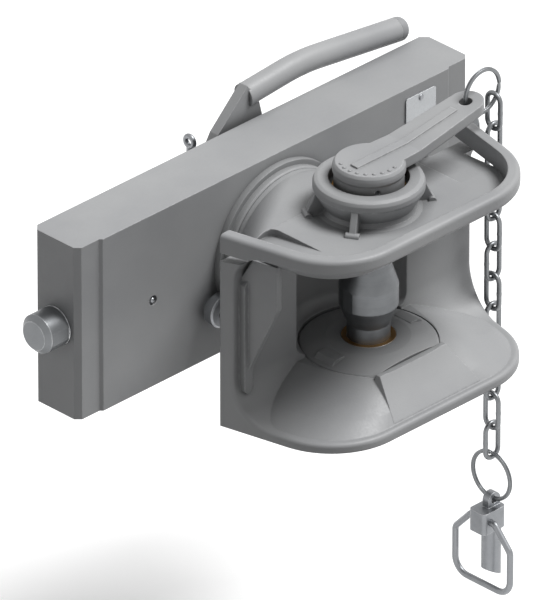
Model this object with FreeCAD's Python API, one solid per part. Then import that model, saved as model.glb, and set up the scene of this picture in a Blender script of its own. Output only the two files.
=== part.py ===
import FreeCAD
import Part
import math
import os

V = FreeCAD.Vector
AX = V(1, 0, 0)
AY = V(0, 1, 0)
AZ = V(0, 0, 1)

# Fits, all radial
RUN = 0.05
GAP = 0.3
EPS = 0.5

# Carrier plate: the origin is on the locking pin axis in mid plate, the mouth points to -Y
PLATE_W = 390.0
PLATE_T = 47.0
PLATE_H = 138.6
GUIDE_T = 45.0
STRIP_W = 21.0
CHAMFER_FRONT = 4.0
CHAMFER_BACK = 5.0
FRONT = -PLATE_T / 2
BACK = PLATE_T / 2

# Locking pins, their springs and drive
PIN_R = 15.0
PIN_LEN = 120.0
PIN_PROUD = 22.0
PIN_CHAMFER = 4.0
PIN_NOSE_R = 14.8
PIN_SHOULDER = 1.0
PIN_FLAT = 14.0
PIN_TRAVEL = 24.1
PIN_TIP = PLATE_W / 2 + PIN_PROUD
PIN_TAIL = PIN_TIP - PIN_LEN
BORE_END = 50.0
SPRING_R = 11.0
SPRING_WIRE = 1.5
SPRING_TURNS = 5.0
DRIVER_X = PIN_TAIL + 20.0
DRIVER_R = 5.0
DRIVER_HEAD_R = 8.5
DRIVER_HEAD_T = 5.0
BAR_T = 4.0
BAR_W = 18.0
BAR_AIR = 0.4
SLOT_Z = 45.0
STUD_R = 4.0
STUD_LEN = 10.5

# Lever behind the plate
CRANK_T = 8.0
CRANK_AIR = 0.6
CRANK_R = 43.0
CRANK_BAR_W = 24.0
SLOT_LEAN = 15.0
HUB_R = 32.0
ARM_TIP_X = 22.8
ARM_TIP_Z = 93.7
ARM_HEEL_X = 34.4
ARM_HEEL_Z = 76.6
ARM_FOOT_X = 37.1
ARM_FOOT_Z = 66.0
ARM_LEFT_X = -6.7
ARM_LEFT_Z = 65.7
GRIP_R = 9.0
GRIP_WALL = 2.5
GRIP_START_X = 24.5
GRIP_START_Z = 83.0
GRIP_PEAK_X = 81.1
GRIP_PEAK_Z = 87.9
GRIP_END_X = 176.0
GRIP_END_Z = 75.9
GRIP_BEND_R = 170.0
CAP_LEN = 9.0
CIRCLIP_T = 1.7
CIRCLIP_R = 35.0
CIRCLIP_DEPTH = 1.2

# Bearing of the clevis in the plate
SHAFT_R = 24.95
BUSH_WALL = 3.0
BUSH_R = SHAFT_R + RUN + BUSH_WALL
RING_R = 62.0
RING_T = 5.0
STEP_R = 58.0
STEP_T = 5.0
CLAMP_PITCH_R = 71.0
CLAMP_ANGLE = 203.0
CLAMP_HEAD_R = 12.3
CLAMP_HEAD_T = 8.0
CLAMP_SHOULDER_R = 8.4
CLAMP_SHANK_R = 6.0
CLAMP_DEPTH = 30.0
SOCKET_AF = 10.0
SOCKET_DEPTH = 5.0
RING_FRONT = FRONT - RING_T - STEP_T
CRANK_Y = BACK + BAR_AIR + BAR_T + CRANK_AIR
HUB_END = CRANK_Y + CRANK_T + GAP + CIRCLIP_T + 0.8
WASHER_T = 4.0
WASHER_R = 38.0
DISC_T = 2.0
DISC_CONE = 1.6
THREAD_R = 24.0
NUT_AF = 72.0
NUT_T = 16.0
NUT_SLOT_W = 7.0
NUT_SLOT_DEPTH = 6.0
SPLIT_R = 2.5
SPLIT_REACH = 40.0

# Small fittings on the plate front
NIPPLE_X = 122.8
NIPPLE_HOLE_R = 3.75
NIPPLE_HOLE_DEPTH = 3.0
NIPPLE_STEM_R = 2.2
NIPPLE_STEM_LEN = 4.5
TYPE_W = 29.8
TYPE_H = 50.0
TYPE_T = 1.0
TYPE_INSET = 51.6
TYPE_X = PLATE_W / 2 - TYPE_INSET
TYPE_TOP = 61.5
RIVET_R = 1.5
RIVET_HEAD_R = 2.6
RIVET_DEPTH = 6.0
RIVET_INSET = 3.7

# Clevis casting
WALL_BACK = FRONT - 65.0
WALL_T = 9.5
WALL_FRONT = WALL_BACK - WALL_T
JAW_HALF_W = 121.4
JAW_DEPTH = 99.7
JAW_FRONT = WALL_BACK - JAW_DEPTH
JAW_TAPER = 12.53
JAW_CORNER_R = 57.5
RIM_W = 9.0
TOP_Z = 79.0
TOP_FLOOR_Z = 63.3
MOUTH_TOP = 67.0
MOUTH_FLOOR = -68.4
BASE_Z = -75.5
MOUTH_R_TOP = 25.0
MOUTH_R_LOW = 33.0
RIM_ROUND = 3.5
MOUTH_ROUND = 3.0
LIP_W = 4.0
FUNNEL_MID_Z = 57.5
FUNNEL_Z = 47.0
DISH_Z = -45.4
KP_REACH = 91.1
KP_Y = FRONT - KP_REACH
NECK_R = 57.0
NECK_STUB = 4.0
NECK_HALF_W = 106.0
NECK_LOW = -60.0
NECK_CORNER_R = 26.0
THROAT_R = 57.5
THROAT_LOW = -44.0
POCKET_DEPTH = 6.0
POCKET_X = 69.0
POCKET_LEN = 50.0
POCKET_R = 8.0
WEB_X = -112.0
WEB_T = 8.5
WEB_DEPTH = 5.5
WEB_LOW = -50.0
WEB_TOP = 47.0
GUSSET_T = 6.0
GUSSET_LEN = 28.0
GUSSET_TOP = 60.0
GUSSET_KNEE = 24.0
GUSSET_LOW = -40.0
GUSSET_TURN = 12.5

# Kingpin, its bushes and the boss that holds them
KP_GUIDE_R = 22.4
KP_NECK_R = 15.5
KP_CROWN_R = 21.3
KP_CROWN_TOP = 1.7
KP_CROWN_LOW = -13.7
KP_CONE_TOP = 20.0
KP_CONE_LOW = -28.7
KP_END = -97.0
KP_SHOULDER = 44.0
KP_FLAT_W = 9.0
CROSS_Z = -84.3
CROSS_R = 7.3
UPPER_BUSH_R = 26.5
LOWER_BUSH_R = 19.5
LOWER_BUSH_TOP = -40.0
BOSS_TOP = 87.7
BOSS_R = 39.8
BOSS_FACE_R = 36.1
BOSS_WAIST_R = 33.0
BOSS_FOOT_R = 37.8
RECESS_R = 28.7
RECESS_Z = 80.0
RIB_T = 5.0
RIB_REACH = 46.0
RIB_FIRST = 30.0
WEAR_R = 49.8
WEAR_T = 4.6
WEAR_HUB_R = 30.0
WEAR_HUB_Z = -40.5
WEAR_CUT = 38.9
WEAR_PAD_IN = 33.0
WEAR_PAD_OUT = 46.0
WEAR_PAD_Z = -41.0
WEAR_PAD_HALF = 9.0
WEDGE_HALF_W = 38.0
WEDGE_TOP = -43.5
WEDGE_BACK = KP_Y - 39.9
WEDGE_LEDGE = 4.0
WEDGE_RUN = 24.0
CORE_BOSS_R = 31.0
CORE_RIB_T = 9.0

# Pin handle
HANDLE_TOP = 100.5
HANDLE_R = 26.0
HANDLE_FACE_R = 24.0
HANDLE_LIP_Z = 96.0
HANDLE_HUB_R = 25.0
HANDLE_T = 8.0
HANDLE_BEND_X = 35.0
HANDLE_RISE = 8.0
HANDLE_EYE_INSET = 25.1
HANDLE_EYE_X = JAW_HALF_W - HANDLE_EYE_INSET
HANDLE_EYE_R = 4.8
HANDLE_END_R = 13.0
HANDLE_ROOT_HALF = 17.5
HANDLE_RIB_W = 7.0
HANDLE_RIB_H = 1.2
HANDLE_CUT_OVER = 20.0
SPIGOT_R = 14.0
SPIGOT_TOP = 95.0
ROLL_PIN_R = 2.0
ROLL_PIN_Z = 87.5
ROLL_PIN_X = -13.0

# Rings, chain and linch pin
CHAIN_BESIDE_JAW = 3.4
CHAIN_X = JAW_HALF_W + CHAIN_BESIDE_JAW
RING_WIRE_R = 1.5
UPPER_RING_R = 16.8
UPPER_RING_INSET = 11.8
UPPER_RING_X = CHAIN_X - UPPER_RING_INSET
UPPER_RING_Z = 110.5
LOWER_RING_R = 18.4
LINK_WIRE_R = 1.85
LINK_HALF_W = 8.15
LINK_INNER_LEN = 24.7
LINK_COUNT = 12
LINK_PLAY = 0.3
LUG_HOLE_R = 2.8
LUG_T = 6.0
LINCH_R = 7.15
LINCH_LEN = 62.0
LINCH_HEAD_T = 16.0
LINCH_HEAD_H = 17.0
LINCH_HEAD_REACH = 15.5
BOW_WIRE_R = 2.4
BOW_OFFSET = 8.5
BOW_PIVOT_DROP = 13.5
BOW_HALF_W = 27.25
BOW_SHOULDER_DROP = 17.0
BOW_LEN = 53.0
BOW_CORNER_R = 12.0


def box(x0, x1, y0, y1, z0, z1):
    return Part.makeBox(x1 - x0, y1 - y0, z1 - z0, V(x0, y0, z0))


def cyl_x(y, z, r, x0, x1):
    return Part.makeCylinder(r, x1 - x0, V(x0, y, z), AX)


def cyl_y(x, z, r, y0, y1):
    return Part.makeCylinder(r, y1 - y0, V(x, y0, z), AY)


def cyl_z(x, y, r, z0, z1):
    return Part.makeCylinder(r, z1 - z0, V(x, y, z0), AZ)


def prism(points, direction):
    wire = Part.makePolygon(points + [points[0]])
    return Part.Face(wire).extrude(direction)


def prism_x(points, x0, x1):
    return prism([V(x0, y, z) for y, z in points], V(x1 - x0, 0, 0))


def prism_y(points, y0, y1):
    return prism([V(x, y0, z) for x, z in points], V(0, y1 - y0, 0))


def prism_z(points, z0, z1):
    return prism([V(x, y, z0) for x, y in points], V(0, 0, z1 - z0))


def turned_z(points, y):
    wire = Part.makePolygon([V(r, y, z) for r, z in points + [points[0]]])
    return Part.Face(wire).revolve(V(0, y, 0), AZ, 360)


def turned_y(points):
    wire = Part.makePolygon([V(r, y, 0) for r, y in points + [points[0]]])
    return Part.Face(wire).revolve(V(0, 0, 0), AY, 360)


def joined(shapes):
    whole = shapes[0]
    for shape in shapes[1:]:
        whole = whole.fuse(shape)
    return whole.removeSplitter()


def hex_prism_y(x, z, across_flats, y0, y1):
    r = across_flats / math.sqrt(3)
    corners = [(x + r * math.cos(math.radians(60 * k)), z + r * math.sin(math.radians(60 * k)))
               for k in range(6)]
    return prism_y(corners, y0, y1)


def wire_loop(edges, start, direction, wire_r):
    path = Part.Wire(edges)
    section = Part.Wire([Part.makeCircle(wire_r, start, direction)])
    return path.makePipeShell([section], True, False)


def jaw_points(inset_front, inset_side, back):
    lean = math.tan(math.radians(JAW_TAPER))
    slant = inset_side / math.cos(math.radians(JAW_TAPER))
    front = JAW_FRONT + inset_front
    half_back = JAW_HALF_W - slant - (WALL_BACK - back) * lean
    half_front = JAW_HALF_W - slant - (WALL_BACK - front) * lean
    return [(-half_back, back), (-half_front, front), (half_front, front), (half_back, back)]


def jaw_prism(inset, z0, z1, back):
    body = prism_z(jaw_points(inset, inset, back), z0, z1)
    front = JAW_FRONT + inset
    corners = [e for e in body.Edges
               if abs(e.Vertexes[0].Y - front) < 1e-4 and abs(e.Vertexes[1].Y - front) < 1e-4
               and abs(e.Vertexes[0].X - e.Vertexes[1].X) < 1e-4]
    return body.makeFillet(JAW_CORNER_R - inset, corners)


def jaw_wire(inset_front, inset_side, corner_r, z, back):
    left_back, left_front, right_front, right_back = [V(x, y, z) for x, y in
                                                      jaw_points(inset_front, inset_side, back)]
    along = (right_front - right_back).normalize()
    reach = corner_r * math.tan(math.radians(90 - JAW_TAPER) / 2)
    arcs = []
    for corner, mirror in ((left_front, -1), (right_front, 1)):
        side = V(mirror * along.x, along.y, 0)
        bisector = V(-mirror, 0, 0) - side
        bisector.normalize()
        deep = corner_r / math.cos(math.radians(90 - JAW_TAPER) / 2)
        on_side = corner - side * reach
        on_front = corner + V(-mirror * reach, 0, 0)
        mid = corner + bisector * (deep - corner_r)
        arcs.append((on_side, mid, on_front))
    edges = [Part.makeLine(left_back, arcs[0][0]),
             Part.Arc(arcs[0][0], arcs[0][1], arcs[0][2]).toShape(),
             Part.makeLine(arcs[0][2], arcs[1][2]),
             Part.Arc(arcs[1][2], arcs[1][1], arcs[1][0]).toShape(),
             Part.makeLine(arcs[1][0], right_back),
             Part.makeLine(right_back, left_back)]
    return Part.Wire(edges)


def round_rect_wire(half_w, low, high, corner_r, y):
    mid = (high + low) / 2
    half_h = (high - low) / 2
    corners = []
    for sx, sz in ((1, 1), (-1, 1), (-1, -1), (1, -1)):
        corners.append(V(sx * (half_w - corner_r), y, mid + sz * (half_h - corner_r)))
    edges = []
    for k in range(4):
        start = math.radians(90 * k)
        angles = (start, start + math.pi / 4, start + math.pi / 2)
        arc = [corners[k] + V(math.cos(a) * corner_r, 0, math.sin(a) * corner_r) for a in angles]
        edges.append(Part.Arc(arc[0], arc[1], arc[2]).toShape())
        following = math.radians(90 * (k + 1))
        nxt = corners[(k + 1) % 4] + V(math.cos(following) * corner_r, 0, math.sin(following) * corner_r)
        edges.append(Part.makeLine(arc[2], nxt))
    return Part.Wire(edges)


def make_carrier_plate():
    half = PLATE_W / 2
    step = PLATE_T - GUIDE_T
    right = [(half - STRIP_W - step, FRONT),
             (half - STRIP_W, FRONT + step),
             (half - CHAMFER_FRONT, FRONT + step),
             (half, FRONT + step + CHAMFER_FRONT),
             (half, BACK - CHAMFER_BACK),
             (half - CHAMFER_BACK, BACK)]
    left = [(-x, y) for x, y in reversed(right)]
    plate = prism_z(right + left, -PLATE_H / 2, PLATE_H / 2)
    plate = plate.fuse(cyl_y(0, 0, HUB_R, 0, HUB_END))
    plate = plate.cut(circlip_groove())
    plate = plate.cut(cyl_y(0, 0, BUSH_R, FRONT - EPS, HUB_END + EPS))
    for side in (-1, 1):
        ends = sorted((side * BORE_END, side * (half + EPS)))
        plate = plate.cut(cyl_x(0, 0, PIN_R + RUN, ends[0], ends[1]))
        plate = plate.cut(driver_slot(side))
        plate = plate.cut(nipple_hole(side))
        x, z = clamp_centre(side)
        plate = plate.cut(cyl_y(x, z, CLAMP_SHANK_R, FRONT - EPS, FRONT + CLAMP_DEPTH + EPS))
    for z in rivet_heights():
        plate = plate.cut(cyl_y(TYPE_X, z, RIVET_R, FRONT - EPS, FRONT + RIVET_DEPTH))
    return plate.removeSplitter()


def circlip_groove():
    low = CRANK_Y + CRANK_T + GAP
    outer = cyl_y(0, 0, HUB_R + EPS, low, low + CIRCLIP_T)
    return outer.cut(cyl_y(0, 0, HUB_R - CIRCLIP_DEPTH, low - EPS, low + CIRCLIP_T + EPS))


def driver_slot(side):
    r = DRIVER_R + GAP
    outer = DRIVER_X
    inner = DRIVER_X - PIN_TRAVEL
    xs = sorted((side * inner, side * outer))
    slot = box(xs[0], xs[1], 0, BACK + EPS, -r, r)
    slot = slot.fuse(cyl_y(side * inner, 0, r, 0, BACK + EPS))
    return slot.fuse(cyl_y(side * outer, 0, r, 0, BACK + EPS))


def nipple_hole(side):
    x = side * NIPPLE_X
    wide = cyl_y(x, 0, NIPPLE_HOLE_R, FRONT - EPS, FRONT + NIPPLE_HOLE_DEPTH)
    stem = cyl_y(x, 0, NIPPLE_STEM_R, FRONT, FRONT + NIPPLE_HOLE_DEPTH + NIPPLE_STEM_LEN)
    return wide.fuse(stem)


def rivet_heights():
    return (TYPE_TOP - RIVET_INSET, TYPE_TOP - TYPE_H + RIVET_INSET)


def clamp_centre(side):
    angle = math.radians(CLAMP_ANGLE)
    return (-side * CLAMP_PITCH_R * math.cos(angle), -side * CLAMP_PITCH_R * math.sin(angle))


def make_grease_nipples():
    nipples = []
    for side in (-1, 1):
        x = side * NIPPLE_X
        base = FRONT + NIPPLE_HOLE_DEPTH
        stem = cyl_y(x, 0, NIPPLE_STEM_R, base, base + NIPPLE_STEM_LEN)
        collar = cyl_y(x, 0, NIPPLE_HOLE_R - GAP, base - 1.2, base)
        ball = Part.makeSphere(NIPPLE_STEM_R, V(x, base - 1.6, 0))
        nipples.append(joined([stem, collar, ball]))
    return Part.makeCompound(nipples)


def make_type_plate():
    half = TYPE_W / 2
    plate = box(TYPE_X - half, TYPE_X + half, FRONT - TYPE_T, FRONT, TYPE_TOP - TYPE_H, TYPE_TOP)
    upright = [e for e in plate.Edges if abs(e.Vertexes[0].Y - e.Vertexes[1].Y) > TYPE_T / 2]
    plate = plate.makeFillet(2.0, upright)
    for z in rivet_heights():
        plate = plate.cut(cyl_y(TYPE_X, z, RIVET_R, FRONT - TYPE_T - EPS, FRONT + EPS))
    return plate


def make_type_plate_rivets():
    rivets = []
    for z in rivet_heights():
        face = FRONT - TYPE_T
        shank = cyl_y(TYPE_X, z, RIVET_R, face, FRONT + RIVET_DEPTH)
        head = Part.makeCone(RIVET_HEAD_R, RIVET_R, 1.0, V(TYPE_X, face, z), V(0, -1, 0))
        rivets.append(joined([shank, head]))
    return Part.makeCompound(rivets)


def make_bearing_ring():
    profile = [(BUSH_R, FRONT),
               (RING_R, FRONT),
               (RING_R, FRONT - RING_T),
               (STEP_R, FRONT - RING_T),
               (STEP_R, RING_FRONT + 1.0),
               (STEP_R - 1.0, RING_FRONT),
               (BUSH_R, RING_FRONT)]
    return turned_y(profile)


def make_clamp_bolts():
    bolts = []
    under = FRONT - RING_T
    face = under - CLAMP_HEAD_T
    for side in (-1, 1):
        x, z = clamp_centre(side)
        head = cyl_y(x, z, CLAMP_HEAD_R, face, under)
        rims = [e for e in head.Edges if abs(e.CenterOfMass.y - face) < 1e-4]
        head = head.makeChamfer(1.2, rims)
        head = head.cut(hex_prism_y(x, z, SOCKET_AF, face - EPS, face + SOCKET_DEPTH))
        shoulder = cyl_y(x, z, CLAMP_SHOULDER_R, under, FRONT)
        shank = cyl_y(x, z, CLAMP_SHANK_R, FRONT, FRONT + CLAMP_DEPTH)
        bolts.append(joined([head, shoulder, shank]))
    return Part.makeCompound(bolts)


def make_shaft_bush():
    y0 = RING_FRONT
    y1 = HUB_END
    return cyl_y(0, 0, BUSH_R, y0, y1).cut(cyl_y(0, 0, SHAFT_R + RUN, y0 - EPS, y1 + EPS))


def make_lever_circlip():
    low = CRANK_Y + CRANK_T + GAP
    ring = cyl_y(0, 0, CIRCLIP_R, low, low + CIRCLIP_T)
    ring = ring.cut(cyl_y(0, 0, HUB_R - CIRCLIP_DEPTH, low - EPS, low + CIRCLIP_T + EPS))
    return ring.cut(box(-3, 3, low - EPS, low + CIRCLIP_T + EPS, -CIRCLIP_R - EPS, -HUB_R / 2))


def make_locking_pin(side):
    shoulder = PLATE_W / 2 + PIN_SHOULDER
    pin = cyl_x(0, 0, PIN_R, PIN_TAIL, shoulder).fuse(cyl_x(0, 0, PIN_NOSE_R, shoulder, PIN_TIP))
    tip = [e for e in pin.Edges if abs(e.CenterOfMass.x - PIN_TIP) < 1e-4]
    pin = pin.makeChamfer(PIN_CHAMFER, tip)
    tail = [e for e in pin.Edges if abs(e.CenterOfMass.x - PIN_TAIL) < 1e-4]
    pin = pin.makeChamfer(1.0, tail)
    pin = pin.cut(box(shoulder, PIN_TIP - PIN_CHAMFER, -PIN_R - EPS, -PIN_FLAT, -PIN_R, PIN_R))
    pin = pin.cut(cyl_y(DRIVER_X, 0, DRIVER_R, 0, PIN_R + EPS))
    if side < 0:
        pin = pin.mirror(V(0, 0, 0), AX)
    return pin


def make_driver_bolt(side):
    x = side * DRIVER_X
    bar_back = BACK + BAR_AIR + BAR_T
    shank = cyl_y(x, 0, DRIVER_R, 0, bar_back)
    head = hex_prism_y(x, 0, 2 * DRIVER_HEAD_R * math.cos(math.pi / 6), bar_back, bar_back + DRIVER_HEAD_T)
    return joined([shank, head])


def stud_x():
    return SLOT_Z * math.tan(math.radians(SLOT_LEAN))


def make_pull_bar(side):
    y0 = BACK + BAR_AIR
    y1 = y0 + BAR_T
    half = BAR_W / 2
    x_out = side * DRIVER_X
    x_in = side * stud_x()
    z = side * SLOT_Z
    xs = sorted((x_in, x_out))
    zs = sorted((0, z))
    bar = box(xs[0], xs[1], y0, y1, z - half, z + half)
    bar = bar.fuse(cyl_y(x_in, z, half, y0, y1))
    bar = bar.fuse(cyl_y(x_out, z, half, y0, y1))
    bar = bar.fuse(box(x_out - half, x_out + half, y0, y1, zs[0], zs[1]))
    bar = bar.fuse(cyl_y(x_out, 0, half, y0, y1))
    bar = bar.cut(cyl_y(x_out, 0, DRIVER_R, y0 - EPS, y1 + EPS))
    bar = bar.fuse(cyl_y(x_in, z, STUD_R, y0, y1 + STUD_LEN))
    return bar.removeSplitter()


def make_pin_spring(side):
    length = PIN_TAIL - BORE_END - 2 * SPRING_WIRE
    helix = Part.makeHelix(length / SPRING_TURNS, length, SPRING_R)
    path = Part.Wire(helix.Edges)
    section = Part.Wire([Part.makeCircle(SPRING_WIRE, V(SPRING_R, 0, 0), AY)])
    coil = path.makePipeShell([section], True, True)
    coil.rotate(V(0, 0, 0), AY, 90)
    coil.translate(V(BORE_END + SPRING_WIRE, 0, 0))
    if side < 0:
        coil = coil.mirror(V(0, 0, 0), AX)
    return coil


def make_lever_crank():
    y0 = CRANK_Y
    y1 = CRANK_Y + CRANK_T
    half = CRANK_BAR_W / 2
    reach = SLOT_Z / math.cos(math.radians(SLOT_LEAN))
    crank = cyl_y(0, 0, CRANK_R, y0, y1)
    bar = box(-half, half, y0, y1, -reach, reach)
    bar = bar.fuse(cyl_y(0, reach, half, y0, y1))
    bar = bar.fuse(cyl_y(0, -reach, half, y0, y1))
    bar.rotate(V(0, 0, 0), AY, SLOT_LEAN)
    arm = prism_y([(-CRANK_R * 0.8, CRANK_R * 0.5),
                   (ARM_LEFT_X, ARM_LEFT_Z),
                   (ARM_TIP_X, ARM_TIP_Z),
                   (ARM_HEEL_X, ARM_HEEL_Z),
                   (ARM_FOOT_X, ARM_FOOT_Z),
                   (CRANK_R * 0.9, CRANK_R * 0.3)], y0, y1)
    crank = crank.fuse(bar).fuse(arm)
    slot_r = STUD_R + GAP
    inner = SLOT_Z - 0.6
    outer = reach + 0.6
    for sign in (-1, 1):
        zs = sorted((sign * inner, sign * outer))
        slot = box(-slot_r, slot_r, y0 - EPS, y1 + EPS, zs[0], zs[1])
        slot = slot.fuse(cyl_y(0, zs[0], slot_r, y0 - EPS, y1 + EPS))
        slot = slot.fuse(cyl_y(0, zs[1], slot_r, y0 - EPS, y1 + EPS))
        slot.rotate(V(0, 0, 0), AY, SLOT_LEAN)
        crank = crank.cut(slot)
    crank = crank.cut(cyl_y(0, 0, HUB_R + RUN, y0 - EPS, y1 + EPS))
    return crank.removeSplitter()


def grip_path():
    y = CRANK_Y + 0.75 * CRANK_T
    start = V(GRIP_START_X, y, GRIP_START_Z)
    peak = V(GRIP_PEAK_X, y, GRIP_PEAK_Z)
    end = V(GRIP_END_X, y, GRIP_END_Z)
    d0 = (peak - start).normalize()
    d1 = (end - peak).normalize()
    bend = math.acos(d0.dot(d1))
    reach = GRIP_BEND_R * math.tan(bend / 2)
    inward = (d1 - d0).normalize()
    mid = peak + inward * (GRIP_BEND_R / math.cos(bend / 2) - GRIP_BEND_R)
    p0 = peak - d0 * reach
    p1 = peak + d1 * reach
    edges = [Part.makeLine(start, p0), Part.Arc(p0, mid, p1).toShape(), Part.makeLine(p1, end)]
    return edges, start, d0, end, d1


def make_lever_grip(crank):
    edges, start, d0, end, d1 = grip_path()
    outer = wire_loop(edges, start, d0, GRIP_R)
    inner = wire_loop(edges, start, d0, GRIP_R - GRIP_WALL)
    return outer.cut(inner).cut(crank)


def make_lever_end_cap():
    edges, start, d0, end, d1 = grip_path()
    plug = Part.makeCylinder(GRIP_R - GRIP_WALL, 8.0, end - d1 * 8.0, d1)
    dome = Part.makeCylinder(GRIP_R, CAP_LEN, end, d1)
    far = end + d1 * CAP_LEN
    rim = [e for e in dome.Edges if (e.CenterOfMass - far).Length < 1e-3]
    dome = dome.makeFillet(GRIP_R * 0.6, rim)
    return joined([plug, dome])


def make_neck():
    start = RING_FRONT - GAP
    stub_end = start - NECK_STUB
    edge = NECK_R - 0.4
    sections = [round_rect_wire(NECK_R, -NECK_R, NECK_R, edge, stub_end),
                round_rect_wire(NECK_HALF_W, NECK_LOW, TOP_FLOOR_Z, NECK_CORNER_R, WALL_BACK - WALL_T / 2)]
    flare = Part.makeLoft(sections, True, True)
    stub = cyl_y(0, 0, NECK_R, stub_end, start)
    return stub.fuse(flare)


def c_profile():
    far = JAW_FRONT - EPS
    a = V(0, WALL_FRONT - MOUTH_R_TOP, MOUTH_TOP)
    b = V(0, WALL_FRONT, MOUTH_TOP - MOUTH_R_TOP)
    c = V(0, WALL_FRONT, MOUTH_FLOOR + MOUTH_R_LOW)
    d = V(0, WALL_FRONT - MOUTH_R_LOW, MOUTH_FLOOR)
    s = math.sin(math.pi / 4)
    ab = V(0, WALL_FRONT - MOUTH_R_TOP * (1 - s), MOUTH_TOP - MOUTH_R_TOP * (1 - s))
    cd = V(0, WALL_FRONT - MOUTH_R_LOW * (1 - s), MOUTH_FLOOR + MOUTH_R_LOW * (1 - s))
    edges = [Part.makeLine(V(0, far, MOUTH_TOP), a),
             Part.Arc(a, ab, b).toShape(),
             Part.makeLine(b, c),
             Part.Arc(c, cd, d).toShape(),
             Part.makeLine(d, V(0, far, MOUTH_FLOOR)),
             Part.makeLine(V(0, far, MOUTH_FLOOR), V(0, far, MOUTH_TOP))]
    return Part.Face(Part.Wire(edges))


def make_jaws():
    body = jaw_prism(0, BASE_Z, TOP_Z, WALL_BACK)
    rim = [e for e in body.Edges
           if abs(e.BoundBox.ZMin - TOP_Z) < 1e-4 and e.BoundBox.YMin < WALL_BACK - EPS]
    body = body.makeFillet(RIM_ROUND, rim)
    mouth = c_profile().extrude(V(2 * JAW_HALF_W + 2, 0, 0))
    mouth.translate(V(-JAW_HALF_W - 1, 0, 0))
    body = body.cut(mouth)
    return body.makeFillet(MOUTH_ROUND, mouth_edges(body))


def mouth_edges(body):
    found = []
    for edge in body.Edges:
        around = edge.BoundBox
        in_mouth = around.ZMin > MOUTH_FLOOR - EPS and around.ZMax < MOUTH_TOP + EPS
        across = around.XLength > JAW_HALF_W and around.YMax > JAW_FRONT + EPS
        if in_mouth and not across:
            found.append(edge)
    return found


def make_upper_funnel():
    back = WALL_BACK - WALL_T / 2
    r = JAW_CORNER_R
    sections = [jaw_wire(LIP_W, LIP_W, r - LIP_W, MOUTH_TOP + 1.0, back),
                jaw_wire(14, 14, r - 14, FUNNEL_MID_Z, back),
                jaw_wire(42, 48, r - 34, FUNNEL_Z, back)]
    return Part.makeLoft(sections, True, True)


def make_lower_dish():
    back = WALL_BACK - WALL_T / 2
    r = JAW_CORNER_R
    sections = [jaw_wire(LIP_W, LIP_W, r - LIP_W, MOUTH_FLOOR - 1.0, back),
                jaw_wire(12, 24, r - 12, MOUTH_FLOOR + 7.0, back),
                jaw_wire(31, 61, r - 14, DISH_Z, back)]
    return Part.makeLoft(sections, True, True)


def make_lower_core():
    back = WALL_FRONT - RIM_W
    r = JAW_CORNER_R
    sections = [jaw_wire(16, 16, r - 16, BASE_Z - 1.0, back),
                jaw_wire(24, 34, r - 22, BASE_Z + 8.0, back),
                jaw_wire(38, 66, r - 28, DISH_Z - 12.0, back)]
    core = Part.makeLoft(sections, True, True)
    core = core.cut(cyl_z(0, KP_Y, CORE_BOSS_R, BASE_Z - 2, DISH_Z))
    half = CORE_RIB_T / 2
    core = core.cut(box(-JAW_HALF_W, JAW_HALF_W, KP_Y - half, KP_Y + half, BASE_Z - 2, DISH_Z))
    return core.cut(box(-half, half, JAW_FRONT, WALL_BACK, BASE_Z - 2, DISH_Z))


def make_side_pocket(side):
    back = WALL_BACK + 2.0
    front = back - POCKET_LEN
    wedge = prism_x([(back, TOP_FLOOR_Z - POCKET_DEPTH), (back, TOP_FLOOR_Z + 1),
                     (front - EPS, TOP_FLOOR_Z + 1), (front, TOP_FLOOR_Z)], -JAW_HALF_W, JAW_HALF_W)
    plan = box(POCKET_X, JAW_HALF_W, front - 2, back - 0.5, TOP_FLOOR_Z - POCKET_DEPTH - 1, TOP_FLOOR_Z + 2)
    corner = [e for e in plan.Edges
              if abs(e.CenterOfMass.x - POCKET_X) < 1e-4 and abs(e.CenterOfMass.y - back + 0.5) < 1e-4]
    plan = plan.makeFillet(POCKET_R, corner)
    if side < 0:
        plan = plan.mirror(V(0, 0, 0), AX)
    return wedge.common(plan)


def make_boss():
    profile = [(KP_GUIDE_R - 2, FUNNEL_Z),
               (KP_GUIDE_R - 2, RECESS_Z),
               (BOSS_R, RECESS_Z),
               (BOSS_WAIST_R, TOP_FLOOR_Z + 4.5),
               (BOSS_WAIST_R + 1.4, TOP_FLOOR_Z + 1.3),
               (BOSS_FOOT_R, TOP_FLOOR_Z),
               (BOSS_FOOT_R, FUNNEL_Z)]
    return turned_z(profile, KP_Y)


def make_boss_collar():
    profile = [(RECESS_R, RECESS_Z),
               (RECESS_R, BOSS_TOP),
               (BOSS_FACE_R, BOSS_TOP),
               (BOSS_R - 1.1, BOSS_TOP - 1.2),
               (BOSS_R, BOSS_TOP - 3.7),
               (BOSS_R, RECESS_Z)]
    return turned_z(profile, KP_Y)


def make_boss_ribs():
    ribs = []
    outline = [(BOSS_WAIST_R - 2, TOP_FLOOR_Z - 1),
               (RIB_REACH, TOP_FLOOR_Z - 1),
               (RIB_REACH, TOP_FLOOR_Z + 2.5),
               (BOSS_R - 0.5, RECESS_Z),
               (BOSS_WAIST_R - 2, RECESS_Z)]
    for angle in (RIB_FIRST, 180 - RIB_FIRST, 180 + RIB_FIRST, 360 - RIB_FIRST):
        rib = prism_y(outline, -RIB_T / 2, RIB_T / 2)
        foot = cyl_y(RIB_REACH - 1, TOP_FLOOR_Z, 3.0, -RIB_T, RIB_T)
        rib = rib.fuse(foot)
        rib.rotate(V(0, 0, 0), AZ, angle)
        rib.translate(V(0, KP_Y, 0))
        ribs.append(rib)
    return ribs


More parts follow.
